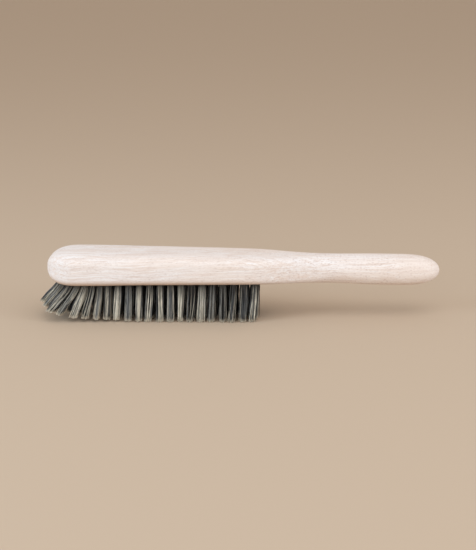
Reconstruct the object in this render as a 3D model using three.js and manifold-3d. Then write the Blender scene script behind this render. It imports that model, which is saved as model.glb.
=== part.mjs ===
// Clothes brush: a one-piece wooden stock with a long handle, filled with a single field of
// natural-fibre tufts. Each tuft is folded round a flat wire anchor at the bottom of a blind hole.
// Millimetres. +X runs from the rounded toe to the handle end, +Z is up, and the trimmed fibre
// tips stand on z = 0.
import * as THREE from "three";
import { mergeVertices } from "three/addons/utils/BufferGeometryUtils.js";
import Module from "manifold-3d";

const wasm = await Module();
wasm.setup();

// ---- driving dimensions -------------------------------------------------------------------

// Wooden stock. Stations are distances from the toe of the stock.
const TOE_X = -146.16;
const STOCK_LENGTH = 300;
const TOE_NOSE_Z = 40;
const HANDLE_NOSE_Z = 36;
const WIDEST_LINE = 0.46; // height of the widest line of a section, as a share of its thickness
const STOCK_RINGS = 44;
const STOCK_SIDES = 28;

// Half width, top and underside of the stock: [station, value]
const HALF_WIDTH = [
  [0, 24.6], [38, 24.6], [78, 23.6], [128, 22.4], [156, 21.5], [171, 19.6], [187, 15.6],
  [202, 12.9], [218, 12.1], [233, 12.3], [248, 13], [263, 13.6], [278, 13.9], [300, 13.9],
];
const TOP_Z = [
  [0, 52.8], [33, 52.6], [78, 51.7], [128, 50.7], [156, 50], [171, 49.4], [187, 48.9],
  [202, 48.5], [218, 48.3], [248, 48.4], [263, 48.1], [300, 47.6],
];
const UNDER_Z = [
  [0, 27.5], [33, 27.5], [78, 27.9], [156, 28], [171, 27.9], [187, 27.5], [202, 27.1],
  [218, 26.7], [233, 26], [248, 25.3], [263, 24.9], [300, 24.9],
];

// How squarely a section is shaped: 2 is an ellipse, larger is nearer a rounded rectangle
const HEAD_TOP_SQUARENESS = 3.8;
const HEAD_UNDER_SQUARENESS = 4.8;
const HANDLE_SQUARENESS = 2.15;
const HEAD_SHAPE_ENDS = 160;
const HANDLE_SHAPE_STARTS = 228;

// Rounding of the two ends: length of the rounding, and how blunt it is
const TOE_PLAN = { length: 24.6, bluntness: 2 };
const TOE_SIDE = { length: 26, bluntness: 3.4 };
const HANDLE_PLAN = { length: 26, bluntness: 2.6 };
const HANDLE_SIDE = { length: 37, bluntness: 3.5 };

// Tuft field
const UNDERSIDE_Z = 28.3;
const FILES_Y = [-16, -8, 0, 8, 16];
const ROWS = 20;
const CURVED_ROWS = 5;
const FIRST_ROW = 10.3; // station of the middle tuft of the first row
const CURVED_PITCH = 7.54;
const STRAIGHT_PITCH = 7.98;
const EDGE_SETBACK = 9.2; // how far the outer tufts of the first row stand behind its middle
const SETBACK_POWER = 1.4;
const TOE_SPLAY_DEG = [39, 33, 22, 16, 7];
const STRAIGHT_LEAN_DEG = 3;
const SIDE_LEAN_DEG = 4;
const TOE_SIDE_LEAN_DEG = 12;
const DRILL_SHARE = 0.5; // a hole is drilled at this share of the lean of its tuft

// One tuft, its hole and its anchor
const HOLE_RADIUS = 2.45;
const HOLE_DEPTH = 10.5;
const TUFT_SIDES = 6;
const TUFT_ROOT_RADIUS = 2.15;
const TUFT_TIP_ALONG = 3.35;
const TUFT_TIP_ACROSS = 3.7;
const TUFT_DEPTH = 10;
const TUFT_BENDS_BELOW = 1; // a tuft keeps to its hole until this far out of the underside
const ANCHOR_DEPTH = 7.8;
const ANCHOR_HEIGHT = 2;
const ANCHOR_THICKNESS = 0.5;
const ANCHOR_OVERHANG = 3.1; // past the outermost tufts of the row, into the wood
const CLEARANCE = 0.3;

// Fibres that stray between the tufts of a row, as one strip across the row
const STRAY_SHARE = 0.7; // how far down the free length the strip sits
const STRAY_THICKNESS = 1.6;
const STRAY_HEIGHT = 3;
const STRAY_OVERHANG = 1;

// Trim of the fibre tips: level under the head, rising in two stages towards the toe
const TRIM_RISE = { station: 77, height: 3.2, run: 57, power: 1.1 };
const TRIM_TOE = { station: 21, height: 5.8, run: 26, power: 1.1 };
const TRIM_PASSES = 6; // each pass brings a tip closer to the trimmed surface

// ---- helpers ------------------------------------------------------------------------------

const RAD = Math.PI / 180;

// A smooth curve through [position, value] stations.
function along(stations, x) {
  const last = stations.length - 1;
  let i = 0;
  while (i < last - 1 && x > stations[i + 1][0]) i += 1;
  const slopeAt = (k) => {
    const a = stations[Math.max(0, k - 1)];
    const b = stations[Math.min(last, k + 1)];
    return (b[1] - a[1]) / (b[0] - a[0]);
  };
  const [x0, y0] = stations[i];
  const [x1, y1] = stations[i + 1];
  const run = x1 - x0;
  const t = THREE.MathUtils.clamp((x - x0) / run, 0, 1);
  const t2 = t * t;
  const t3 = t2 * t;
  return (
    (2 * t3 - 3 * t2 + 1) * y0 +
    (t3 - 2 * t2 + t) * run * slopeAt(i) +
    (3 * t2 - 2 * t3) * y1 +
    (t3 - t2) * run * slopeAt(i + 1)
  );
}

// 0 at the tip of a rounded end, 1 where the rounding is over.
function rounding(distance, { length, bluntness }) {
  const left = Math.max(0, 1 - distance / length);
  return Math.sqrt(Math.max(0, 1 - left ** bluntness));
}

// A power that keeps the sign, and takes what is only rounding error as zero.
function signedPower(value, power) {
  return Math.abs(value) < 1e-6 ? 0 : Math.sign(value) * Math.abs(value) ** power;
}

// A closed solid of the manifold library from a three.js geometry.
function solidOf(geometry) {
  const bare = geometry.clone();
  bare.deleteAttribute("normal");
  bare.deleteAttribute("uv");
  const merged = mergeVertices(bare, 1e-4);
  return new wasm.Manifold(
    new wasm.Mesh({
      numProp: 3,
      vertProperties: new Float32Array(merged.attributes.position.array),
      triVerts: new Uint32Array(merged.index.array),
    }),
  );
}

function geometryOf(solid) {
  const mesh = solid.getMesh();
  const geometry = new THREE.BufferGeometry();
  geometry.setAttribute("position", new THREE.BufferAttribute(mesh.vertProperties, 3));
  geometry.setIndex(new THREE.BufferAttribute(mesh.triVerts, 1));
  geometry.computeVertexNormals();
  return geometry;
}

// Moves every vertex of a geometry to the place that `place` gives for it.
function reshape(geometry, place) {
  const position = geometry.attributes.position;
  const point = new THREE.Vector3();
  for (let i = 0; i < position.count; i += 1) {
    point.fromBufferAttribute(position, i);
    const moved = place(point);
    position.setXYZ(i, moved.x, moved.y, moved.z);
  }
  return geometry;
}

// ---- wooden stock -------------------------------------------------------------------------

// Sizes and squareness of the cross-section of the stock at x.
function stockSection(x) {
  const station = x - TOE_X;
  const fromEnd = STOCK_LENGTH - station;
  const blend = THREE.MathUtils.smoothstep(station, HEAD_SHAPE_ENDS, HANDLE_SHAPE_STARTS);
  const width = rounding(station, TOE_PLAN) * rounding(fromEnd, HANDLE_PLAN);
  const depth = rounding(station, TOE_SIDE) * rounding(fromEnd, HANDLE_SIDE);
  const top = along(TOP_Z, station);
  const under = along(UNDER_Z, station);
  const widest = under + WIDEST_LINE * (top - under);
  const nose = station < STOCK_LENGTH / 2 ? TOE_NOSE_Z : HANDLE_NOSE_Z;
  const centre = THREE.MathUtils.lerp(nose, widest, depth);
  return {
    halfWidth: width * along(HALF_WIDTH, station),
    centre,
    rise: THREE.MathUtils.lerp(nose, top, depth) - centre,
    drop: centre - THREE.MathUtils.lerp(nose, under, depth),
    topPower: 2 / THREE.MathUtils.lerp(HEAD_TOP_SQUARENESS, HANDLE_SQUARENESS, blend),
    underPower: 2 / THREE.MathUtils.lerp(HEAD_UNDER_SQUARENESS, HANDLE_SQUARENESS, blend),
  };
}

// A sphere with its poles on X, each ring reshaped into the section of the stock.
function stockBlank() {
  const half = STOCK_LENGTH / 2;
  const sphere = new THREE.SphereGeometry(1, STOCK_SIDES, STOCK_RINGS).rotateZ(Math.PI / 2);
  return reshape(sphere, (p) => {
    const x = TOE_X + half * (1 + p.x);
    const radius = Math.hypot(p.y, p.z);
    if (radius < 1e-6) return new THREE.Vector3(x, 0, p.x < 0 ? TOE_NOSE_Z : HANDLE_NOSE_Z);
    const s = stockSection(x);
    const up = p.z > 0;
    const power = up ? s.topPower : s.underPower;
    const y = s.halfWidth * signedPower(p.y / radius, power);
    const z = s.centre + (up ? s.rise : s.drop) * signedPower(p.z / radius, power);
    return new THREE.Vector3(x, y, z);
  });
}

// ---- tufts --------------------------------------------------------------------------------

function rise(x, { station, height, run, power }) {
  return height * (Math.max(0, TOE_X + station - x) / run) ** power;
}

// Height at which the fibres are trimmed.
function trimHeight(x) {
  return rise(x, TRIM_RISE) + rise(x, TRIM_TOE);
}

// Travel per millimetre of drop, from root to tip, for a lean towards the toe and a lean
// outwards across the brush.
function leaning(toeDeg, sideDeg) {
  return new THREE.Vector3(-Math.tan(toeDeg * RAD), Math.tan(sideDeg * RAD), -1);
}

// Root, drilling direction and splay direction of the tuft in row `row` of file `y`.
function tuftAt(row, y) {
  const curve = Math.max(0, 1 - row / CURVED_ROWS);
  const edge = y / FILES_Y[FILES_Y.length - 1]; // -1 to 1 across the brush
  const straightRows = Math.max(0, row - CURVED_ROWS);
  const x =
    TOE_X +
    FIRST_ROW +
    CURVED_PITCH * Math.min(row, CURVED_ROWS) +
    STRAIGHT_PITCH * straightRows +
    EDGE_SETBACK * curve * Math.abs(edge) ** SETBACK_POWER;
  const toeLean = row < CURVED_ROWS ? TOE_SPLAY_DEG[row] : STRAIGHT_LEAN_DEG;
  const sideLean = edge * THREE.MathUtils.lerp(SIDE_LEAN_DEG, TOE_SIDE_LEAN_DEG, curve);
  return {
    root: new THREE.Vector3(x, y, UNDERSIDE_Z),
    drill: leaning(toeLean * DRILL_SHARE, sideLean * DRILL_SHARE),
    splay: leaning(toeLean, sideLean),
  };
}

// The two directions across `axis`: one along the brush, one across it.
function crossAxes(axis) {
  const across = new THREE.Vector3(0, 1, 0);
  const lengthwise = across.clone().cross(axis).negate().normalize();
  return [lengthwise, lengthwise.clone().cross(axis).normalize()];
}

// Slides `point` along `axis` until it lies on the trimmed surface.
function trimmed(point, axis) {
  const result = point.clone();
  for (let pass = 0; pass < TRIM_PASSES; pass += 1) {
    result.addScaledVector(axis, result.z - trimHeight(result.x));
  }
  return result;
}

// One tuft: a round bundle in its hole that leaves it along the drilling direction, bends to its
// splay and spreads to an oval tip. The cylinder's height runs from the fold (0) past the
// underside (1/2) to the tip (1).
function tuftSolid({ root, drill, splay }) {
  const [drillAlong, drillAcross] = crossAxes(drill);
  const [tipAlong, tipAcross] = crossAxes(splay);
  const cylinder = new THREE.CylinderGeometry(1, 1, 1, TUFT_SIDES, 2, false, Math.PI / TUFT_SIDES)
    .rotateX(-Math.PI / 2);
  const placed = reshape(cylinder, (p) => {
    const isTip = p.z < -0.25;
    const isFold = p.z > 0.25;
    if (isTip) {
      const tip = root
        .clone()
        .addScaledVector(tipAlong, p.x * TUFT_TIP_ALONG)
        .addScaledVector(tipAcross, p.y * TUFT_TIP_ACROSS);
      return trimmed(tip, splay);
    }
    const depth = isFold ? TUFT_DEPTH : -TUFT_BENDS_BELOW;
    return root
      .clone()
      .addScaledVector(drill, -depth)
      .addScaledVector(drillAlong, p.x * TUFT_ROOT_RADIUS)
      .addScaledVector(drillAcross, p.y * TUFT_ROOT_RADIUS);
  });
  return solidOf(placed);
}

// The drill that cuts the blind hole of a tuft, starting clear of the wood.
function drillSolid({ root, drill }) {
  const startsBelow = 6;
  const length = (HOLE_DEPTH + startsBelow) * drill.length();
  const bit = new THREE.CylinderGeometry(HOLE_RADIUS, HOLE_RADIUS, length, TUFT_SIDES);
  bit.rotateY(Math.PI / TUFT_SIDES);
  bit.rotateX(-Math.PI / 2);
  const down = new THREE.Vector3(0, 0, -1);
  bit.applyQuaternion(new THREE.Quaternion().setFromUnitVectors(down, drill.clone().normalize()));
  const centre = root.clone().addScaledVector(drill, (startsBelow - HOLE_DEPTH) / 2);
  return solidOf(bit.translate(centre.x, centre.y, centre.z));
}

// Where the anchor crosses a tuft, and where its stray fibres do.
function anchorPoint({ root, drill }) {
  return root.clone().addScaledVector(drill, -ANCHOR_DEPTH);
}

function strayPoint({ root, splay }) {
  return root.clone().lerp(trimmed(root, splay), STRAY_SHARE);
}

// A flat strip on edge that runs across the brush through `points`.
function stripSolid(points, thickness, height, overhang) {
  const first = points[0];
  const last = points[points.length - 1];
  const left = first.clone().sub(points[1]).setZ(0).setLength(overhang).add(first);
  const right = last.clone().sub(points[points.length - 2]).setZ(0).setLength(overhang).add(last);
  const path = [left, ...points, right];
  const front = path.map((p) => new THREE.Vector2(p.x - thickness / 2, p.y));
  const back = path.map((p) => new THREE.Vector2(p.x + thickness / 2, p.y)).reverse();
  const strip = new THREE.ExtrudeGeometry(new THREE.Shape([...front, ...back]), {
    depth: height,
    bevelEnabled: false,
  });
  const level = points.reduce((sum, p) => sum + p.z, 0) / points.length;
  return solidOf(strip.translate(0, 0, level - height / 2));
}

// ---- assembly -----------------------------------------------------------------------------

const WOOD = { color: 0xe6d3c2, roughness: 0.62, metalness: 0 };
const FIBRE = { color: 0x807d70, roughness: 0.8, metalness: 0 };
const WIRE = { color: 0xa9a9a6, roughness: 0.35, metalness: 1 };

const group = new THREE.Group();

function addNode(name, solid, look) {
  const mesh = new THREE.Mesh(geometryOf(solid), new THREE.MeshStandardMaterial(look));
  mesh.name = name;
  group.add(mesh);
}

let stock = solidOf(stockBlank());
for (let row = 0; row < ROWS; row += 1) {
  const tufts = FILES_Y.map((y) => tuftAt(row, y));
  const crossings = tufts.map(anchorPoint);
  const anchors = stripSolid(crossings, ANCHOR_THICKNESS, ANCHOR_HEIGHT, ANCHOR_OVERHANG);
  const slot = stripSolid(
    crossings,
    ANCHOR_THICKNESS + 2 * CLEARANCE,
    ANCHOR_HEIGHT + 2 * CLEARANCE,
    ANCHOR_OVERHANG + CLEARANCE,
  );
  const strays = stripSolid(tufts.map(strayPoint), STRAY_THICKNESS, STRAY_HEIGHT, STRAY_OVERHANG);
  const bundle = wasm.Manifold.union([strays, ...tufts.map(tuftSolid)]).subtract(slot);
  const label = String(row + 1).padStart(2, "0");
  addNode("tuft_row_" + label, bundle, FIBRE);
  addNode("anchor_row_" + label, anchors, WIRE);
  stock = stock.subtract(wasm.Manifold.union([slot, ...tufts.map(drillSolid)]));
}
addNode("wooden_stock", stock, WOOD);

export default group;
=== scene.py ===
import math

import bpy
import numpy as np
from mathutils import Matrix, Vector, noise


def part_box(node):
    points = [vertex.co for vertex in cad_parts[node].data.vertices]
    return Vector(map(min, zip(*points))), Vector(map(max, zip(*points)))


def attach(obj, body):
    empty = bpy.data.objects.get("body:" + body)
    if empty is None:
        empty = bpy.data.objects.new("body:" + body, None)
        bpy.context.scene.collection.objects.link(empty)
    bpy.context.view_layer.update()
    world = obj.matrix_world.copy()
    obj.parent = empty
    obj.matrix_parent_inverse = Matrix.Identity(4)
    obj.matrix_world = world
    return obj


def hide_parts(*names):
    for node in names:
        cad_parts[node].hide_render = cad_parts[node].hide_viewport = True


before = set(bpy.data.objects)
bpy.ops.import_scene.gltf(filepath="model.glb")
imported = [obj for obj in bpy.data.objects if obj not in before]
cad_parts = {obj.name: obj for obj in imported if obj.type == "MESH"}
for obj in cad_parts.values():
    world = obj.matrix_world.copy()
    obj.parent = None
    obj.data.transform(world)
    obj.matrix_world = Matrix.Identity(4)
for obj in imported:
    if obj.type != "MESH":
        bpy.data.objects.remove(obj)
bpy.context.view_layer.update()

# Clothes brush: the fine surface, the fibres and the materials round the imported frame.
# Lengths are in millimetres in the same frame as the CAD, and become metres in mesh_object().

MM = 0.001
STOCK_LOW, STOCK_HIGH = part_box("wooden_stock")
TOE_X = STOCK_LOW.x / MM
STOCK_LENGTH = (STOCK_HIGH.x - STOCK_LOW.x) / MM
DICE = np.random.default_rng(20)

# ---- wooden stock: the curves that the CAD stock is lofted from ---------------------------

HALF_WIDTH = [
    (0, 24.6), (38, 24.6), (78, 23.6), (128, 22.4), (156, 21.5), (171, 19.6), (187, 15.6),
    (202, 12.9), (218, 12.1), (233, 12.3), (248, 13), (263, 13.6), (278, 13.9), (300, 13.9),
]
TOP_Z = [
    (0, 52.8), (33, 52.6), (78, 51.7), (128, 50.7), (156, 50), (171, 49.4), (187, 48.9),
    (202, 48.5), (218, 48.3), (248, 48.4), (263, 48.1), (300, 47.6),
]
UNDER_Z = [
    (0, 27.5), (33, 27.5), (78, 27.9), (156, 28), (171, 27.9), (187, 27.5), (202, 27.1),
    (218, 26.7), (233, 26), (248, 25.3), (263, 24.9), (300, 24.9),
]
TOE_NOSE_Z = 40
HANDLE_NOSE_Z = 36
WIDEST_LINE = 0.46  # height of the widest line of a section, as a share of its thickness
HEAD_TOP_SQUARENESS = 3.8  # 2 is an ellipse, larger is nearer a rounded rectangle
HEAD_UNDER_SQUARENESS = 4.8
HANDLE_SQUARENESS = 2.15
HEAD_SHAPE_ENDS = 160
HANDLE_SHAPE_STARTS = 228
TOE_PLAN = (24.6, 2)  # length of the rounding, and how blunt it is
TOE_SIDE = (26, 3.4)
HANDLE_PLAN = (26, 2.6)
HANDLE_SIDE = (37, 3.5)
STOCK_RINGS = 190
STOCK_SIDES = 88
UNEVENNESS = 0.12  # what hand sanding leaves
UNEVEN_PER_MM = (0.025, 0.06, 0.06)
FULLY_UNEVEN_WIDTH = 10  # half-width below which the unevenness fades, towards both ends
CRISP_EDGE_DEG = 35

# ---- tuft field: the grid that the CAD holes are drilled on --------------------------------

UNDERSIDE_Z = 28.3
FILES_Y = (-16, -8, 0, 8, 16)
ROWS = 20
CURVED_ROWS = 5
FIRST_ROW = 10.3
CURVED_PITCH = 7.54
STRAIGHT_PITCH = 7.98
EDGE_SETBACK = 9.2
SETBACK_POWER = 1.4
TOE_SPLAY_DEG = (39, 33, 22, 16, 7)
STRAIGHT_LEAN_DEG = 3
SIDE_LEAN_DEG = 4
TOE_SIDE_LEAN_DEG = 12
DRILL_SHARE = 0.5
HOLE_RADIUS = 2.45
HOLE_DEPTH = 10.5
RIM_BREAK = 0.2  # how much wider than the hole its mouth is
RIM_SPAN = (-0.05, 0.35)  # from just outside the surface to this deep
DRILL_SIDES = 28
DRILL_SHANK = 6
DRILL_POINT = (0.8, 0.3)  # length, and radius at its end
ANCHOR_DEPTH = 7.8

# Trim of the fibre tips: (station where it starts to rise, height, run, power)
TRIM_STEPS = ((77, 3.2, 57, 1.1), (21, 5.8, 26, 1.1))

# ---- fibres -------------------------------------------------------------------------------

FIBRES_PER_TUFT = 66  # each is folded in two, so a tuft shows twice as many ends
FIBRE_RADIUS = 0.225
FIBRE_THICKNESS = (0.75, 1.25)  # thinnest and thickest, as shares of that
FIBRE_TAPER = (1.05, 0.82)  # at the hole's mouth and at the tip
FIBRE_SIDES = 4
LOCKS = 16  # groups of fibres in a tuft that lie side by side and share a shade and a bend
LOCK_REACH = (0.1, 0.85)  # how far out the middle of a lock lies, as a share of the hole's area
LOCK_PLACE = (0.2, 0.8)  # where it lies in its own sector
SHADE_JITTER = 0.16  # how far a fibre's shade strays from its lock's
BUNDLE_RADIUS = 2.18
EXPOSED_STEPS = (0, 0.07, 0.22, 0.42, 0.62, 0.82, 1)  # from the hole's mouth to the tip
HIDDEN_STEPS = (-0.3, -0.4, -0.3)  # beside the anchor, under it, and beside it again
ABOVE_ANCHOR = 0.6
UNDER_ANCHOR = 1.4
DRAWN_IN = 0.12  # how far the fibres draw together beside the anchor
FOLD_SPREAD = 1.5  # half the width of a fold under the anchor
FOLD_JITTER = 0.1

# Half the length and half the width of a tuft at its tips; the files behind the outer ones
# are looser, because nothing combs them straight.
TIP_ALONG = 2.65
LOOSE_TIP_ALONG = 3.3
TIP_ACROSS = 3.5
TIP_OPENING = 1.06
BELLY = 0.35  # how far a tuft swells as soon as it is out of its hole
LOOSE_BELLY = 1.6
BELLY_REACHED = 0.06  # as a share of the way to the tip
DRILLED_SHARE = 0.65  # how closely a fibre keeps to the drilled direction at the hole's mouth
TUFT_SWAY = 0.5  # how far a tuft's tips stand off their place in the grid

# Unevenness of the fibres at their tips, where 1 is half the tuft's width
LOCK_DRAW = (0.15, 0.6)  # how far the fibres of a lock draw together
LOCK_SWAY = 0.09
FIBRE_SWAY = 0.05
STRAY_SWAY = 0.45
STRAY_SHARE = 0.08
FARTHEST_TIP = 1.35

# Unevenness in millimetres: bends half-way down, double bends, and fibres that are too short
LOCK_BOW = 0.28
FIBRE_BOW = 0.14
FIBRE_RIPPLE = 0.12
FIBRE_SHORTFALL = 0.25
LOCK_SHORTFALL = 0.35
BROKEN_SHARE = 0.07
BROKEN_BY = (0.4, 2.4)
TRIM_CLEARANCE = 0.4 * FIBRE_RADIUS  # for the edge of a slanting cut
TRIM_PASSES = 6

# Ranges of a tuft's tone: 0.5 is the plain mixture, lower is darker. The darker range of the
# files behind the outer ones is painted shade, for the shade deep among the tufts.
OUTER_TONES = (-0.2, 1.1)
TOE_TONES = (0.0, 1.6)
HIDDEN_PAINTED_SHADE_TONES = (-1.6, -0.1)
TOE_ROWS = 3

# ---- anchor wire --------------------------------------------------------------------------

ANCHOR_HALF = (0.25, 0.95, 3.1)  # along the brush, upward, across
ANCHOR_CORNER = 0.12
ANCHOR_CORNER_POINTS = 3
ANCHOR_BEND = 0.2  # of the ends, along the brush
ANCHOR_END_RISE = 0.35
ANCHOR_MIDDLE_DROP = 0.1
ANCHOR_RINGS = 7


# ---- geometry helpers ---------------------------------------------------------------------


def along(stations, x):
    """A smooth curve through (position, value) stations."""
    last = len(stations) - 1
    i = 0
    while i < last - 1 and x > stations[i + 1][0]:
        i += 1

    def slope(k):
        a, b = stations[max(0, k - 1)], stations[min(last, k + 1)]
        return (b[1] - a[1]) / (b[0] - a[0])

    (x0, y0), (x1, y1) = stations[i], stations[i + 1]
    run = x1 - x0
    t = min(max((x - x0) / run, 0), 1)
    return (
        (2 * t**3 - 3 * t**2 + 1) * y0
        + (t**3 - 2 * t**2 + t) * run * slope(i)
        + (3 * t**2 - 2 * t**3) * y1
        + (t**3 - t**2) * run * slope(i + 1)
    )


def lerp(a, b, t):
    return a + (b - a) * t


def smoothstep(x, low, high):
    t = min(max((x - low) / (high - low), 0), 1)
    return t * t * (3 - 2 * t)


def rounding(distance, shape):
    """0 at the tip of a rounded end, 1 where the rounding is over."""
    length, bluntness = shape
    left = max(0, 1 - distance / length)
    return math.sqrt(max(0, 1 - left**bluntness))


def signed_power(value, power):
    return math.copysign(abs(value) ** power, value) if abs(value) > 1e-9 else 0.0


def mesh_object(name, points_mm, faces):
    """A smooth-shaded mesh object from points in millimetres."""
    mesh = bpy.data.meshes.new(name)
    mesh.from_pydata((np.asarray(points_mm, float) * MM).tolist(), [], faces)
    mesh.shade_smooth()
    mesh.update()
    obj = bpy.data.objects.new(name, mesh)
    bpy.context.scene.collection.objects.link(obj)
    return obj


def loft(rings, closed_ends=True):
    """Points and quads through equal rings of points, with a face on each end."""
    count = len(rings[0])
    points = [p for ring in rings for p in ring]
    faces = []
    for r in range(len(rings) - 1):
        for k in range(count):
            a = r * count + k
            b = r * count + (k + 1) % count
            faces.append((a, b, b + count, a + count))
    if closed_ends:
        faces.append(tuple(range(count))[::-1])
        faces.append(tuple(range(len(points) - count, len(points))))
    return points, faces


def lofted(name, pieces):
    """One mesh object of several closed lofts, each given by its rings."""
    points, faces = [], []
    for rings in pieces:
        start = len(points)
        more, quads = loft(rings)
        points += more
        faces += [tuple(start + i for i in face) for face in quads]
    return mesh_object(name, points, faces)


# ---- the stock ----------------------------------------------------------------------------


def stock_section(station):
    """The rounded-rectangle section of the stock at a distance from its toe."""
    from_end = STOCK_LENGTH - station
    blend = smoothstep(station, HEAD_SHAPE_ENDS, HANDLE_SHAPE_STARTS)
    width = rounding(station, TOE_PLAN) * rounding(from_end, HANDLE_PLAN)
    depth = rounding(station, TOE_SIDE) * rounding(from_end, HANDLE_SIDE)
    top = along(TOP_Z, station)
    under = along(UNDER_Z, station)
    widest = under + WIDEST_LINE * (top - under)
    nose = TOE_NOSE_Z if station < STOCK_LENGTH / 2 else HANDLE_NOSE_Z
    centre = lerp(nose, widest, depth)
    return {
        "half_width": width * along(HALF_WIDTH, station),
        "centre": centre,
        "rise": lerp(nose, top, depth) - centre,
        "drop": centre - lerp(nose, under, depth),
        "top_power": 2 / lerp(HEAD_TOP_SQUARENESS, HANDLE_SQUARENESS, blend),
        "under_power": 2 / lerp(HEAD_UNDER_SQUARENESS, HANDLE_SQUARENESS, blend),
    }


def hand_sanded(point):
    """How far a surface point stands out, from the unevenness that hand sanding leaves."""
    where = Vector([p * per_mm for p, per_mm in zip(point, UNEVEN_PER_MM)])
    return UNEVENNESS * noise.noise(where)


def stock_blank():
    """The stock before drilling: a closed loft whose rings bunch up at both rounded ends."""
    rings = []
    for i in range(1, STOCK_RINGS):
        angle = math.pi * i / STOCK_RINGS
        station = STOCK_LENGTH / 2 * (1 - math.cos(angle))
        s = stock_section(station)
        ring = []
        for k in range(STOCK_SIDES):
            turn = 2 * math.pi * k / STOCK_SIDES
            c, up = math.cos(turn), math.sin(turn)
            power = s["top_power"] if up > 0 else s["under_power"]
            reach = s["rise"] if up > 0 else s["drop"]
            y = s["half_width"] * signed_power(c, power)
            z = s["centre"] + reach * signed_power(up, power)
            bump = hand_sanded((station, y, z)) * min(1, s["half_width"] / FULLY_UNEVEN_WIDTH)
            ring.append((TOE_X + station, y + bump * c, z + bump * up))
        rings.append(ring)
    points, faces = loft(rings, closed_ends=False)
    toe_tip = len(points)
    points.append((TOE_X, 0, TOE_NOSE_Z))
    points.append((TOE_X + STOCK_LENGTH, 0, HANDLE_NOSE_Z))
    last_ring = toe_tip - STOCK_SIDES
    for k in range(STOCK_SIDES):
        after = (k + 1) % STOCK_SIDES
        faces.append((toe_tip, after, k))
        faces.append((toe_tip + 1, last_ring + k, last_ring + after))
    return mesh_object("wooden_body", points, faces)


# ---- tufts --------------------------------------------------------------------------------


def trim_height(x):
    """Height at which the fibres are trimmed; x may be an array."""
    total = 0
    for station, height, run, power in TRIM_STEPS:
        total = total + height * (np.maximum(0, TOE_X + station - x) / run) ** power
    return total


def leaning(toe_deg, side_deg):
    """Travel per millimetre of drop, from root to tip."""
    return np.array((-math.tan(math.radians(toe_deg)), math.tan(math.radians(side_deg)), -1))


def tone_range(row, hidden):
    if hidden:
        # painted shade: the files behind the outer ones get darker fibre
        return HIDDEN_PAINTED_SHADE_TONES
    return TOE_TONES if row < TOE_ROWS else OUTER_TONES


def tuft_at(row, y):
    """Root, drilling direction, splay direction and looseness of one tuft."""
    curve = max(0, 1 - row / CURVED_ROWS)
    edge = y / FILES_Y[-1]
    hidden = abs(edge) < 1 and row > 0
    station = (
        FIRST_ROW
        + CURVED_PITCH * min(row, CURVED_ROWS)
        + STRAIGHT_PITCH * max(0, row - CURVED_ROWS)
        + EDGE_SETBACK * curve * abs(edge) ** SETBACK_POWER
    )
    toe_lean = TOE_SPLAY_DEG[row] if row < CURVED_ROWS else STRAIGHT_LEAN_DEG
    side_lean = edge * lerp(SIDE_LEAN_DEG, TOE_SIDE_LEAN_DEG, curve)
    return {
        "root": np.array((TOE_X + station, y, UNDERSIDE_Z)),
        "drill": leaning(toe_lean * DRILL_SHARE, side_lean * DRILL_SHARE),
        "splay": leaning(toe_lean, side_lean),
        "belly": LOOSE_BELLY if hidden else BELLY,
        "tip_along": LOOSE_TIP_ALONG if hidden else TIP_ALONG,
        "sway": TUFT_SWAY * (1 - curve),
        "strays": STRAY_SHARE * (2 if hidden and row >= CURVED_ROWS else 1),
        "tones": tone_range(row, hidden),
    }


TUFTS = [[tuft_at(row, y) for y in FILES_Y] for row in range(ROWS)]


def cross_axes(axis):
    """Two unit directions across `axis`: one along the brush, one across it."""
    lengthwise = -np.cross((0, 1, 0), axis)
    lengthwise /= np.linalg.norm(lengthwise)
    across = np.cross(lengthwise, axis)
    return lengthwise, across / np.linalg.norm(across)


def drill_bit(tuft):
    """Rings of one drill: round, with a broken rim at the hole's mouth and a pointed end."""
    rim_radius = HOLE_RADIUS + RIM_BREAK
    point_length, point_radius = DRILL_POINT
    lengthwise, across = cross_axes(tuft["drill"])
    rings = []
    for depth, radius in (
        (-DRILL_SHANK, rim_radius),
        (RIM_SPAN[0], rim_radius),
        (RIM_SPAN[1], HOLE_RADIUS),
        (HOLE_DEPTH, HOLE_RADIUS),
        (HOLE_DEPTH + point_length, point_radius),
    ):
        centre = tuft["root"] - tuft["drill"] * depth
        ring = []
        for k in range(DRILL_SIDES):
            turn = -2 * math.pi * k / DRILL_SIDES
            spoke = lengthwise * math.cos(turn) + across * math.sin(turn)
            ring.append(centre + spoke * radius)
        rings.append(ring)
    return rings


def drilled(stock):
    """Cuts the blind holes and keeps their rims crisp."""
    bits = lofted("drill_bits", [drill_bit(tuft) for row in TUFTS for tuft in row])
    cut = stock.modifiers.new("holes", "BOOLEAN")
    cut.operation = "DIFFERENCE"
    cut.solver = "EXACT"
    cut.object = bits
    bpy.context.view_layer.update()
    graph = bpy.context.evaluated_depsgraph_get()
    mesh = bpy.data.meshes.new_from_object(stock.evaluated_get(graph), depsgraph=graph)
    stock.modifiers.clear()
    stock.data = mesh
    mesh.name = stock.name
    mesh.shade_smooth()
    mesh.set_sharp_from_angle(angle=math.radians(CRISP_EDGE_DEG))
    bpy.data.objects.remove(bits)
    return stock


def seated_fibres():
    """Places of the fibres in the near half of a hole, where 1 is its radius; the number of the
    lock that each fibre belongs to; and the middle of each lock."""
    radius = np.sqrt(DICE.uniform(0, 1, FIBRES_PER_TUFT))
    turn = DICE.uniform(-math.pi / 2, math.pi / 2, FIBRES_PER_TUFT)
    seat = np.stack((radius * np.cos(turn), radius * np.sin(turn)), 1)
    radius = np.sqrt(DICE.uniform(*LOCK_REACH, LOCKS))
    turn = math.pi * ((np.arange(LOCKS) + DICE.uniform(*LOCK_PLACE, LOCKS)) / LOCKS - 0.5)
    middle = np.stack((radius * np.cos(turn), radius * np.sin(turn)), 1)
    lock = np.argmin(np.linalg.norm(seat[:, None] - middle, axis=2), 1)
    return seat, lock, middle


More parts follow.
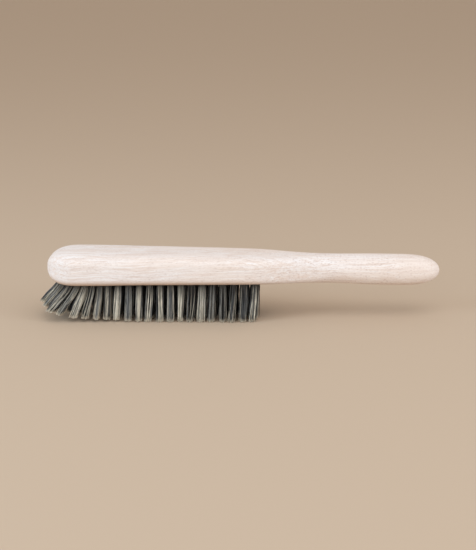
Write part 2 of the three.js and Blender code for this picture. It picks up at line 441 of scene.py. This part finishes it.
def fibre_shades(lock):
    """A shade for each fibre, 0 dark to 1 light. No two locks of a tuft are the same."""
    lock_shade = (DICE.permutation(LOCKS) + DICE.uniform(0, 1, LOCKS)) / LOCKS
    return np.clip(lock_shade[lock] + DICE.normal(0, SHADE_JITTER, len(lock)), 0, 1)


def spread_at_tips(place, lock, middle, stray_share):
    """Places of the tips across the tuft, where 1 is half its width."""
    draw = DICE.uniform(*LOCK_DRAW, (LOCKS, 1))[lock]
    sway = DICE.normal(0, LOCK_SWAY, (LOCKS, 2))[lock]
    spread = lerp(place, middle[lock], draw) * TIP_OPENING + sway
    spread = spread + DICE.normal(0, FIBRE_SWAY, place.shape)
    stray = DICE.uniform(0, 1, len(place)) < stray_share
    spread[stray] += DICE.normal(0, STRAY_SWAY, (int(stray.sum()), 2))
    reach = np.linalg.norm(spread, axis=1, keepdims=True)
    return spread * np.minimum(1, FARTHEST_TIP / np.maximum(reach, 1e-6))


def trimmed(tip, lock, splay):
    """Slides the tips along the splay to the trim line, less what each fibre is short of it."""
    short = np.abs(DICE.normal(0, FIBRE_SHORTFALL, len(tip)))
    short = short + DICE.uniform(0, LOCK_SHORTFALL, LOCKS)[lock]
    broken = DICE.uniform(0, 1, len(tip)) < BROKEN_SHARE
    short[broken] += DICE.uniform(*BROKEN_BY, int(broken.sum()))
    for _ in range(TRIM_PASSES):
        left = tip[:, 2] - trim_height(tip[:, 0]) - TRIM_CLEARANCE - short
        tip = tip + left[:, None] * splay
    return tip


def exposed_line(tuft, at_root, tip, outward, lock):
    """Points from the hole's mouth to the tip: out of the hole as it was drilled, a swelling,
    and over to the splay, bowed and rippled on the way."""
    drop = (UNDERSIDE_Z - tip[:, 2])[:, None]
    lock_bow = DICE.normal(0, LOCK_BOW, (LOCKS, 3))[lock]
    bow = lock_bow + DICE.normal(0, FIBRE_BOW, tip.shape)
    ripple = DICE.normal(0, FIBRE_RIPPLE, tip.shape)
    line = []
    for s in EXPOSED_STEPS:
        straight = at_root + tuft["drill"] * drop * s
        chord = lerp(at_root, tip, s)
        point = lerp(straight, chord, min(1, 1 - DRILLED_SHARE + s))
        swell = tuft["belly"] * (1 - math.exp(-s / BELLY_REACHED)) * (1 - s)
        wave = bow * math.sin(math.pi * s) + ripple * math.sin(2 * math.pi * s)
        line.append(point + outward * swell + wave)
    return line


def fibre_paths(tuft):
    """Centre lines of the fibres of one tuft, each running from one tip over the anchor to the
    other tip; a share along it (1 at a tip, 0 at the hole's mouth, negative inside); and the
    shade of each fibre."""
    root = tuft["root"]
    root_axes = cross_axes(tuft["drill"])
    tip_axes = cross_axes(tuft["splay"])
    to_anchor = tuft["drill"] * (ANCHOR_DEPTH - ABOVE_ANCHOR)
    seat, lock, middle = seated_fibres()
    shade = fibre_shades(lock)
    sway = DICE.normal(0, tuft["sway"], 2)
    halves = []
    for mirror in ((-1, 1), (1, 1)):
        place = seat * mirror
        spread = spread_at_tips(place, lock, middle * mirror, tuft["strays"])
        outward = place[:, :1] * root_axes[0] + place[:, 1:] * root_axes[1]
        at_root = root + outward * BUNDLE_RADIUS
        tip = (
            root
            + (spread[:, :1] * tuft["tip_along"] + sway[0]) * tip_axes[0]
            + (spread[:, 1:] * TIP_ACROSS + sway[1]) * tip_axes[1]
        )
        tip = trimmed(tip, lock, tuft["splay"])
        line = exposed_line(tuft, at_root, tip, outward, lock)
        inside = lerp(at_root - to_anchor, root - to_anchor, DRAWN_IN)
        halves.append((line[::-1], inside))
    fold = root - tuft["drill"] * (ANCHOR_DEPTH + UNDER_ANCHOR)
    fold = fold + DICE.normal(0, FOLD_JITTER, (len(seat), 3))
    fold = fold + seat[:, 1:] * FOLD_SPREAD * root_axes[1]
    (front, front_in), (back, back_in) = halves
    line = [*front, front_in, fold, back_in, *back[::-1]]
    share = [*EXPOSED_STEPS[::-1], *HIDDEN_STEPS, *EXPOSED_STEPS]
    return np.stack(line, 1), np.array(share), shade


def fibre_cells(count, length, sides):
    """Texture coordinates that unroll each fibre in a square cell of its own: first for the
    sides of all the fibres, then for their two cut ends."""
    cells = math.ceil(math.sqrt(count))
    fibre = np.arange(count)
    corner = np.stack((fibre % cells, fibre // cells), -1)
    down, around = np.meshgrid(np.arange(length - 1), np.arange(sides), indexing="ij")
    steps = ((0, 0), (1, 0), (1, 1), (0, 1))
    quads = np.stack([np.stack((around + a, down + b), -1) for a, b in steps], 2)
    quads = quads / (sides, length - 1)
    walls = corner[:, None, None, None] + 0.1 + 0.8 * quads
    cap = np.array(((0.1, 0.05), (0.9, 0.05), (0.9, 0.1), (0.1, 0.1)))
    ends = np.concatenate((corner[:, None] + cap, corner[:, None] + (0, 0.85) + cap))
    return np.concatenate((walls.reshape(-1, 2), ends.reshape(-1, 2))) / cells


NEVER_FORWARD = (0.13, 1, 0.07)  # a direction that no fibre takes


def fibre_tubes(lines, share):
    """Points, side faces and cut ends of thin tubes along the lines, tapering to the tips."""
    count, length, _ = lines.shape
    forward = np.gradient(lines, axis=1)
    forward /= np.linalg.norm(forward, axis=2, keepdims=True)
    normal = np.cross(forward, NEVER_FORWARD)
    normal /= np.linalg.norm(normal, axis=2, keepdims=True)
    other = np.cross(forward, normal)
    taper = lerp(*FIBRE_TAPER, np.clip(share, 0, 1))
    thickness = DICE.uniform(*FIBRE_THICKNESS, (count, 1)) * taper * FIBRE_RADIUS
    turns = np.arange(FIBRE_SIDES) * 2 * math.pi / FIBRE_SIDES
    ring = (
        normal[:, :, None] * np.cos(turns)[:, None]
        + other[:, :, None] * np.sin(turns)[:, None]
    )
    points = lines[:, :, None] + ring * thickness[:, :, None, None]
    grid = np.arange(count * length * FIBRE_SIDES).reshape(count, length, FIBRE_SIDES)
    after = np.roll(grid, -1, axis=2)
    walls = np.stack((grid[:, :-1], after[:, :-1], after[:, 1:], grid[:, 1:]), -1)
    ends = np.concatenate((grid[:, 0, ::-1], grid[:, -1]))
    return points.reshape(-1, 3), np.concatenate((walls.reshape(-1, 4), ends)).tolist()


def fibre_mesh(name, tufts):
    """All the fibres of one row of tufts as one mesh, with the values its material reads."""
    lines, tones, shades = [], [], []
    for tuft in tufts:
        paths, share, shade = fibre_paths(tuft)
        lines.append(paths)
        tones.append(np.full(len(paths), DICE.uniform(*tuft["tones"])))
        shades.append(shade)
    lines = np.concatenate(lines)
    count, length, _ = lines.shape
    obj = mesh_object(name, *fibre_tubes(lines, share))
    per_fibre = length * FIBRE_SIDES
    for attribute, values in (
        ("fibre_shade", np.repeat(np.concatenate(shades), per_fibre)),
        ("tuft_tone", np.repeat(np.concatenate(tones), per_fibre)),
        ("fibre_share", np.tile(np.repeat(share, FIBRE_SIDES), count)),
    ):
        layer = obj.data.attributes.new(attribute, "FLOAT", "POINT")
        layer.data.foreach_set("value", values.astype(np.float32))
    layer = obj.data.uv_layers.new(name="OFBake")
    cells = fibre_cells(count, length, FIBRE_SIDES)
    layer.data.foreach_set("uv", cells.astype(np.float32).ravel())
    return obj


# ---- anchors ------------------------------------------------------------------------------


def anchor_outline():
    """Section of the flat wire, with rounded corners."""
    half_thickness, half_height, _ = ANCHOR_HALF
    outline = []
    for side, level, first in ((1, 1, 0), (-1, 1, 90), (-1, -1, 180), (1, -1, 270)):
        for step in range(ANCHOR_CORNER_POINTS):
            turn = math.radians(first + 90 * step / (ANCHOR_CORNER_POINTS - 1))
            outline.append((
                side * (half_thickness - ANCHOR_CORNER) + ANCHOR_CORNER * math.cos(turn),
                level * (half_height - ANCHOR_CORNER) + ANCHOR_CORNER * math.sin(turn),
            ))
    return outline


def anchor(tuft):
    """Rings of one anchor, bent a little where it was driven in."""
    lengthwise, across = cross_axes(tuft["drill"])
    upward = -tuft["drill"] / np.linalg.norm(tuft["drill"])
    centre = tuft["root"] - tuft["drill"] * ANCHOR_DEPTH
    bend = DICE.uniform(-ANCHOR_BEND, ANCHOR_BEND)
    outline = anchor_outline()
    rings = []
    for t in np.linspace(-1, 1, ANCHOR_RINGS):
        rise = ANCHOR_END_RISE * t * t - ANCHOR_MIDDLE_DROP
        middle = centre + across * t * ANCHOR_HALF[2] + upward * rise
        middle = middle + lengthwise * bend * t * t
        rings.append([middle + lengthwise * x + upward * z for x, z in outline])
    return rings


# ---- material helpers ---------------------------------------------------------------------


def by_identifier(sockets):
    """The sockets of a node on which several have the same name."""
    return {socket.identifier: socket for socket in sockets}


class Nodes:
    """Short calls for building one material's node tree."""

    def __init__(self, name):
        self.material = bpy.data.materials.new(name)
        self.material.use_nodes = True
        self.tree = self.material.node_tree
        self.tree.nodes.clear()
        self.output = self.tree.nodes.new("ShaderNodeOutputMaterial")
        self.shader = self.tree.nodes.new("ShaderNodeBsdfPrincipled")
        self.join(self.shader.outputs[0], self.output.inputs["Surface"])

    def join(self, source, target):
        self.tree.links.new(source, target)

    def feed(self, socket, value):
        if hasattr(value, "is_linked"):
            self.join(value, socket)
        else:
            socket.default_value = value

    def position(self, scale, shift=(0, 0, 0)):
        """Object coordinates in millimetres times `scale`."""
        where = self.tree.nodes.new("ShaderNodeTexCoord")
        mapping = self.tree.nodes.new("ShaderNodeMapping")
        mapping.inputs["Scale"].default_value = [s / MM for s in scale]
        mapping.inputs["Location"].default_value = shift
        self.join(where.outputs["Object"], mapping.inputs["Vector"])
        return mapping.outputs[0]

    def noise(self, vector, detail, roughness=0.5):
        node = self.tree.nodes.new("ShaderNodeTexNoise")
        self.join(vector, node.inputs["Vector"])
        node.inputs["Scale"].default_value = 1
        node.inputs["Detail"].default_value = detail
        node.inputs["Roughness"].default_value = roughness
        return node.outputs["Fac"]

    def ramp(self, value, *stops):
        """A colour ramp with (position, grey or colour) stops."""
        node = self.tree.nodes.new("ShaderNodeValToRGB")
        elements = node.color_ramp.elements
        while len(elements) < len(stops):
            elements.new(0.5)
        for element, (position, colour) in zip(elements, stops):
            element.position = position
            rgb = (colour,) * 3 if isinstance(colour, (int, float)) else colour
            element.color = (*rgb, 1)
        self.feed(node.inputs["Fac"], value)
        return node.outputs["Color"]

    def maths(self, operation, *values):
        node = self.tree.nodes.new("ShaderNodeMath")
        node.operation = operation
        for socket, value in zip(node.inputs, values):
            self.feed(socket, value)
        return node.outputs[0]

    def combine(self, *values):
        node = self.tree.nodes.new("ShaderNodeCombineXYZ")
        for socket, value in zip(node.inputs, values):
            self.feed(socket, value)
        return node.outputs[0]

    def scaled(self, vector, scale):
        node = self.tree.nodes.new("ShaderNodeVectorMath")
        node.operation = "MULTIPLY"
        self.join(vector, node.inputs[0])
        node.inputs[1].default_value = scale
        return node.outputs[0]

    def pores(self, vector, size, share):
        """1 inside a pore; `share` of the cells of `vector` hold one, `size` cells in radius."""
        node = self.tree.nodes.new("ShaderNodeTexVoronoi")
        self.join(vector, node.inputs["Vector"])
        present = self.maths("LESS_THAN", self.split(node.outputs["Color"])[0], share)
        inside = self.ramp(node.outputs["Distance"], (size * 0.5, 1), (size, 0))
        return self.maths("MULTIPLY", present, inside)

    def mix(self, share, below, above):
        """Colour `below` where `share` is 0, and `above` where it is 1."""
        node = self.tree.nodes.new("ShaderNodeMix")
        node.data_type = "RGBA"
        sockets = by_identifier(node.inputs)
        self.feed(sockets["Factor_Float"], share)
        for name, value in (("A_Color", below), ("B_Color", above)):
            self.feed(sockets[name], value if hasattr(value, "is_linked") else (*value, 1))
        return by_identifier(node.outputs)["Result_Color"]

    def split(self, vector):
        node = self.tree.nodes.new("ShaderNodeSeparateXYZ")
        self.join(vector, node.inputs[0])
        return node.outputs

    def facing_down(self):
        """1 where the surface faces straight down, 0 where it is upright."""
        normal = self.tree.nodes.new("ShaderNodeNewGeometry").outputs["Normal"]
        return self.maths("MULTIPLY", self.split(normal)[2], -1)

    def attribute(self, name):
        node = self.tree.nodes.new("ShaderNodeAttribute")
        node.attribute_name = name
        return node.outputs["Fac"]

    def bump(self, height, distance_mm, strength):
        node = self.tree.nodes.new("ShaderNodeBump")
        node.inputs["Distance"].default_value = distance_mm * MM
        node.inputs["Strength"].default_value = strength
        self.feed(node.inputs["Height"], height)
        self.join(node.outputs[0], self.shader.inputs["Normal"])

    def set(self, **values):
        for name, value in values.items():
            self.feed(self.shader.inputs[name.replace("_", " ")], value)


# ---- materials ----------------------------------------------------------------------------

# The scale of a pattern is in cells per millimetre: along the brush, across it and upward.

PITH_ASIDE = 2
PITH_BELOW = 42
RINGS_PER_MM = 0.29
WOOD = {
    "warm": (0.89, 0.782, 0.715),
    "pale": (0.885, 0.845, 0.84),
    "band": (0.83, 0.70, 0.625),
    "ring": (0.77, 0.63, 0.56),
    "dark streak": (0.73, 0.60, 0.535),
    "pale streak": (0.95, 0.93, 0.935),
    "fine line": (0.64, 0.52, 0.465),
    "pore": (0.36, 0.245, 0.20),
    "fleck": (0.46, 0.30, 0.25),
    # the last colour is painted shade, for the surfaces of the head that face down
    "underside": (0.66, 0.49, 0.38),
}


def wood_grain(m):
    """Coordinates in millimetres. Those of "flow" follow a grain that runs along the brush,
    drifts to the sides and wavers up and down; "way" is near 0 at the toe and near 1 at the
    end of the handle."""
    drift = m.noise(m.position((0.008, 0.03, 0.03)), detail=2)
    waver = m.noise(m.position((0.022, 0.08, 0.08), (3, 1, 7)), detail=3)
    slip = m.noise(m.position((0.003, 0.7, 0.7), (4, 6, 2)), detail=2)
    jitter = m.noise(m.position((0.04, 0.5, 0.5)), detail=1)
    x, y, z = m.split(m.position((1, 1, 1)))
    across = m.maths("MULTIPLY_ADD", drift, 20, y)
    height = m.maths("MULTIPLY_ADD", waver, 7, m.maths("MULTIPLY_ADD", x, -0.035, z))
    lengthwise = m.maths("MULTIPLY_ADD", slip, 90, x)  # neighbouring lines start at other places
    return {
        "x": x,
        "y": y,
        "z": z,
        "way": m.maths("MULTIPLY_ADD", x, 0.003, 0.5),
        "across": across,
        "height": height,
        "flow": m.combine(lengthwise, across, height),
        "slip": slip,
        "jitter": jitter,
    }


def growth_rings(m, grain):
    """Sawtooth rings about a pith that lies below the brush."""
    aside = m.maths("ADD", grain["across"], PITH_ASIDE)
    above = m.maths("ADD", grain["height"], PITH_BELOW)
    squares = m.maths("MULTIPLY_ADD", aside, aside, m.maths("MULTIPLY", above, above))
    ring = m.maths("FRACT", m.maths("MULTIPLY", m.maths("SQRT", squares), RINGS_PER_MM))
    return m.ramp(ring, (0.0, 0.3), (0.1, 0.0), (0.6, 0.25), (0.92, 1.0), (1.0, 0.3))


def wood_bands(m, grain):
    """The plain wood: warmer towards the handle, with soft bands and growth rings."""
    broad = m.noise(m.scaled(grain["flow"], (0.006, 0.05, 0.05)), detail=2)
    band = m.noise(m.scaled(grain["flow"], (0.011, 0.32, 0.32)), detail=3)
    toward_toe = m.maths("MULTIPLY_ADD", grain["x"], -0.0012, broad)
    colour = m.mix(m.ramp(toward_toe, (0.36, 0), (0.62, 1)), WOOD["warm"], WOOD["pale"])
    colour = m.mix(m.ramp(band, (0.5, 0), (0.7, 0.8)), colour, WOOD["band"])
    return m.mix(m.maths("MULTIPLY", growth_rings(m, grain), 0.4), colour, WOOD["ring"])


def add_streaks(m, colour, streak, fine):
    """Dark and pale streaks, stronger in some places than in others, and fine lines."""
    patches = m.noise(m.position((0.02, 0.05, 0.05), (9, 2, 5)), detail=2)
    figured = m.ramp(patches, (0.36, 0.4), (0.6, 1.15))
    dark = m.maths("MULTIPLY", m.ramp(streak, (0.49, 0), (0.7, 1)), figured)
    pale = m.maths("MULTIPLY", m.ramp(streak, (0.3, 0.85), (0.47, 0)), figured)
    colour = m.mix(dark, colour, WOOD["dark streak"])
    colour = m.mix(pale, colour, WOOD["pale streak"])
    return m.mix(m.ramp(fine, (0.5, 0), (0.75, 0.55)), colour, WOOD["fine line"])


def turned(m, y, z):
    """Crosswise coordinates turned by 37 degrees, so that no row of cells lies level."""
    cosine, sine = 0.8, 0.6
    return (
        m.maths("ADD", m.maths("MULTIPLY", y, cosine), m.maths("MULTIPLY", z, sine)),
        m.maths("SUBTRACT", m.maths("MULTIPLY", z, cosine), m.maths("MULTIPLY", y, sine)),
    )


def wood_pores(m, grain):
    """Long and short pores that lie along the grain, in patches."""
    y, z = turned(m, grain["across"], grain["height"])
    y = m.maths("MULTIPLY_ADD", grain["jitter"], 1.6, y)
    vessels = m.combine(m.maths("MULTIPLY_ADD", grain["slip"], 14, grain["x"]), y, z)
    patches = m.noise(m.scaled(grain["flow"], (0.018, 0.14, 0.14)), detail=2)
    long_pores = m.pores(m.scaled(vessels, (0.055, 1.0, 1.0)), 0.32, 0.4)
    short_pores = m.pores(m.scaled(vessels, (0.12, 1.6, 1.6)), 0.3, 0.4)
    either = m.maths("MAXIMUM", long_pores, short_pores)
    return m.maths("MULTIPLY", either, m.ramp(patches, (0.38, 0.15), (0.54, 1)))


def add_flecks(m, colour, grain):
    """Short darker flecks, stronger towards the handle."""
    y, z = turned(m, grain["y"], grain["z"])
    y = m.maths("ADD", y, grain["jitter"])
    lines = m.combine(m.maths("MULTIPLY_ADD", grain["slip"], 4, grain["x"]), y, z)
    flecks = m.pores(m.scaled(lines, (0.09, 0.55, 0.55)), 0.36, 0.22)
    handleward = m.ramp(grain["way"], (0.45, 0.4), (0.62, 1))
    return m.mix(m.maths("MULTIPLY", flecks, handleward), colour, WOOD["fleck"])


def add_underside(m, colour, grain):
    """Painted shade: where the head's surface faces downward, on its bottom face and lower edge,
    the colour is darkened; this fades out towards the handle.
    """
    headward = m.ramp(grain["way"], (0.5, 1), (0.62, 0))
    painted_shade = m.ramp(m.facing_down(), (0.04, 0), (0.7, 0.8))
    return m.mix(m.maths("MULTIPLY", painted_shade, headward), colour, WOOD["underside"])


def wood_material():
    """Pale sanded hardwood. Its rings, streaks and pores are cut by the shape as they are in a
    solid piece."""
    m = Nodes("pale_hardwood")
    grain = wood_grain(m)
    streak = m.noise(m.scaled(grain["flow"], (0.02, 1.1, 1.1)), detail=5, roughness=0.6)
    fine = m.noise(m.scaled(grain["flow"], (0.06, 3.4, 3.4)), detail=3, roughness=0.65)
    pores = wood_pores(m, grain)
    colour = add_streaks(m, wood_bands(m, grain), streak, fine)
    colour = m.mix(m.maths("MULTIPLY", pores, 0.85), colour, WOOD["pore"])
    # painted shade darkens the downward-facing surfaces of the head
    colour = add_underside(m, add_flecks(m, colour, grain), grain)
    relief = m.maths("MULTIPLY_ADD", pores, -0.9, m.maths("MULTIPLY", fine, 0.35))
    m.bump(m.maths("MULTIPLY_ADD", streak, 0.3, relief), 0.07, 0.55)
    m.set(Base_Color=colour, Roughness=m.ramp(fine, (0.3, 0.52), (0.75, 0.68)))
    m.set(Specular_IOR_Level=0.25)
    return m.material


FIBRE_COLOURS = (
    (0.04, (0.010, 0.009, 0.008)),  # black
    (0.25, (0.060, 0.062, 0.066)),  # charcoal
    (0.45, (0.215, 0.220, 0.222)),  # blue grey
    (0.62, (0.400, 0.383, 0.330)),  # greenish grey
    (0.78, (0.540, 0.495, 0.405)),  # straw
    (0.94, (0.800, 0.750, 0.640)),  # pale straw
)
FIBRE_MOTTLE = (0.04, 0.038, 0.036)
FIBRE_CUT_END = (0.84, 0.78, 0.66)
# painted shade near the roots of the fibres, where the stock overhangs them
FIBRE_ROOT_PAINTED_SHADE = (0.03, 0.026, 0.022)
TONE_EFFECT = 0.22  # how far a tuft's tone shifts the shades of its fibres


def fibre_material():
    """Mixed natural fibre, lighter at the cut tip, with painted shade darkening it towards the
    root.
    """
    m = Nodes("natural_fibre")
    shade = m.attribute("fibre_shade")
    tone = m.attribute("tuft_tone")
    share = m.attribute("fibre_share")
    shift = m.maths("MULTIPLY", m.maths("SUBTRACT", tone, 0.5), TONE_EFFECT)
    colour = m.ramp(m.maths("ADD", shade, shift), *FIBRE_COLOURS)
    mottled = m.noise(m.position((0.5, 0.5, 0.12)), detail=3, roughness=0.6)
    colour = m.mix(m.ramp(mottled, (0.48, 0), (0.75, 0.6)), colour, FIBRE_MOTTLE)
    colour = m.mix(m.ramp(share, (0.9, 0), (0.985, 0.8)), colour, FIBRE_CUT_END)
    # painted shade: the fibres darken towards the hole's mouth, where the stock shades them
    colour = m.mix(m.ramp(share, (0.0, 0.9), (0.45, 0)), colour, FIBRE_ROOT_PAINTED_SHADE)
    scaly = m.noise(m.position((3, 3, 0.6)), detail=2)
    m.bump(scaly, 0.03, 0.5)
    m.set(Base_Color=colour, Roughness=m.ramp(mottled, (0.3, 0.38), (0.7, 0.55)))
    m.set(Specular_IOR_Level=0.25)
    return m.material


BRIGHT_WIRE = (0.62, 0.61, 0.59)
DULL_WIRE = (0.42, 0.40, 0.37)


def wire_material():
    """Drawn flat steel wire, dulled in patches by the machine that drove it in."""
    m = Nodes("anchor_wire")
    drawn = m.noise(m.position((6, 0.4, 6)), detail=3)
    dull = m.noise(m.position((0.6, 0.6, 0.6)), detail=3)
    colour = m.mix(m.ramp(dull, (0.4, 0), (0.7, 1)), BRIGHT_WIRE, DULL_WIRE)
    m.bump(drawn, 0.02, 0.4)
    m.set(Base_Color=colour, Metallic=1.0, Roughness=m.ramp(dull, (0.35, 0.28), (0.7, 0.5)))
    return m.material


# ---- build --------------------------------------------------------------------------------


def finish_piece(obj, material, node):
    """Gives a piece its material and lets it stand in for one CAD node."""
    obj.data.materials.clear()
    obj.data.materials.append(material)
    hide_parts(node)
    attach(obj, "root")


def build_brush():
    finish_piece(drilled(stock_blank()), wood_material(), "wooden_stock")
    fibre, wire = fibre_material(), wire_material()
    for row, tufts in enumerate(TUFTS):
        label = f"{row + 1:02d}"
        fibres = fibre_mesh("tufts_" + label, tufts)
        finish_piece(fibres, fibre, "tuft_row_" + label)
        anchors = lofted("anchors_" + label, [anchor(tuft) for tuft in tufts])
        finish_piece(anchors, wire, "anchor_row_" + label)


# ---- studio: in metres and watts ----------------------------------------------------------

FLOOR_COLOUR = (0.58, 0.46, 0.35)
FLOOR_HALF_MM = 4000
WORLD_COLOUR = (1.0, 0.922, 0.85)
WORLD_STRENGTH = 0.63
# name, place, width and height, power, colour
LIGHTS = (
    ("key", (0.3, -0.6, 1.35), (1.3, 0.8), 4.6, (1, 1, 1)),
    ("front_fill", (-0.4, -2.2, 0.62), (1.9, 0.8), 9.4, (0.80, 0.915, 1.0)),
    ("left_fill", (-1.25, -0.6, 0.55), (0.7, 0.7), 9.2, (0.69, 0.86, 1.0)),
    ("right_fill", (1.4, -0.6, 0.4), (0.7, 0.7), 8, (0.72, 0.87, 1.0)),
)
CAMERA_AZIMUTH_DEG = 2.5
CAMERA_ELEVATION_DEG = 15
CAMERA_ROLL_DEG = -0.62
CAMERA_DISTANCE = 1.1
CAMERA_LENS = 93.84
TARGET = Vector((0.3 * MM, 0, 31.8 * MM))


def floor():
    m = Nodes("floor_paper")
    grain = m.noise(m.position((0.9, 0.9, 0.9)), detail=4)
    m.set(Base_Color=(*FLOOR_COLOUR, 1), Roughness=0.9, Specular_IOR_Level=0.15)
    m.bump(grain, 0.05, 0.2)
    half = FLOOR_HALF_MM
    corners = [(-half, -half, 0), (half, -half, 0), (half, half, 0), (-half, half, 0)]
    obj = mesh_object("floor", corners, [(0, 1, 2, 3)])
    obj.data.materials.append(m.material)


def area_light(name, place, size, power, colour):
    light = bpy.data.lights.new(name, "AREA")
    light.shape = "RECTANGLE"
    light.size, light.size_y = size
    light.energy = power
    light.color = colour
    obj = bpy.data.objects.new(name, light)
    bpy.context.scene.collection.objects.link(obj)
    obj.location = place
    obj.rotation_euler = (TARGET - Vector(place)).to_track_quat("-Z", "Y").to_euler()


def studio():
    floor()
    world = bpy.data.worlds.new("studio")
    world.use_nodes = True
    background = world.node_tree.nodes["Background"]
    background.inputs["Color"].default_value = (*WORLD_COLOUR, 1)
    background.inputs["Strength"].default_value = WORLD_STRENGTH
    bpy.context.scene.world = world
    for light in LIGHTS:
        area_light(*light)


def camera():
    data = bpy.data.cameras.new("camera")
    data.lens = CAMERA_LENS
    obj = bpy.data.objects.new("camera", data)
    bpy.context.scene.collection.objects.link(obj)
    turn = math.radians(CAMERA_AZIMUTH_DEG)
    tilt = math.radians(CAMERA_ELEVATION_DEG)
    away = Vector((
        math.sin(turn) * math.cos(tilt), -math.cos(turn) * math.cos(tilt), math.sin(tilt),
    ))
    obj.location = TARGET + away * CAMERA_DISTANCE
    level = away.to_track_quat("Z", "Y").to_matrix()
    roll = Matrix.Rotation(math.radians(CAMERA_ROLL_DEG), 3, "Z")
    obj.rotation_euler = (level @ roll).to_euler()
    bpy.context.scene.camera = obj


build_brush()
studio()
camera()
bpy.context.scene.view_settings.view_transform = "Standard"
